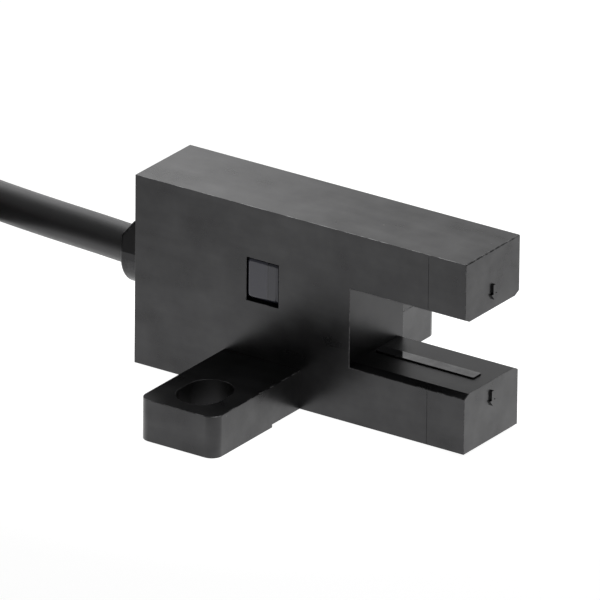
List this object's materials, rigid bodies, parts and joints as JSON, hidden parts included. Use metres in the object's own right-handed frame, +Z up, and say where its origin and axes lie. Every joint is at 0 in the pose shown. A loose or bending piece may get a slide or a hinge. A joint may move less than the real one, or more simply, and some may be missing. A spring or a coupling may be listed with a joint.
{
  "type": "slotted optical switch",
  "caption": "Slotted optical sensor in a black moulded case: facing arms across a slot, ears with oblong screw holes, an indicator window and a fixed lead with stripped wire ends.",
  "frame": {"origin": "midway between the mounting holes, on the face that is screwed down (the pads under the ears)", "axes": "+X along the body from the lead end to the arm tips, +Y from the indicator face to the back face, +Z up from the mounting face"},
  "size_m": [0.0784, 0.0402, 0.0134],
  "materials": {
    "case": "satin",
    "rear_cover": "satin",
    "lead_clamp": "satin",
    "indicator_window": "clear smoky",
    "slot_window": "polished, dark to the eye and clear to infrared",
    "board": "green solder mask",
    "emitter": "tinted clear",
    "receiver": "dark",
    "lead_strip": "tinned",
    "lamp": "clear over a pale filling",
    "chip": "moulded",
    "resistor": "glazed",
    "capacitor": "fired",
    "solder": "bright",
    "brown": "insulation",
    "pink": "insulation",
    "black": "insulation",
    "blue": "insulation",
    "lead": "satin",
    "tie": "satin",
    "copper": "bare copper strands"
  },
  "bodies": {
    "root": {"case": "case", "rear_cover": "rear_cover", "lead_clamp": "lead_clamp", "indicator_window": "indicator_window", "emitter_window": "slot_window", "receiver_window": "slot_window", "circuit_board": "board", "light_emitter": "emitter", "emitter_strips": "lead_strip", "light_receiver": "receiver", "receiver_strips": "lead_strip", "indicator_lamp": "lamp", "output_transistor": "chip", "transistor_legs": "lead_strip", "chip_resistors": "resistor", "chip_capacitor": "capacitor", "protection_diode": "chip", "solder_joints": "solder", "wire_brown": "brown", "wire_pink": "pink", "wire_black": "black", "wire_blue": "blue", "lead_end": "lead", "lead_run": "lead", "lead_coil": "lead", "lead_tail": "lead", "coil_ties": "tie", "tail_brown": "brown", "tail_pink": "pink", "tail_black": "black", "tail_blue": "blue", "bare_ends": "copper"}
  },
  "joints": []
}
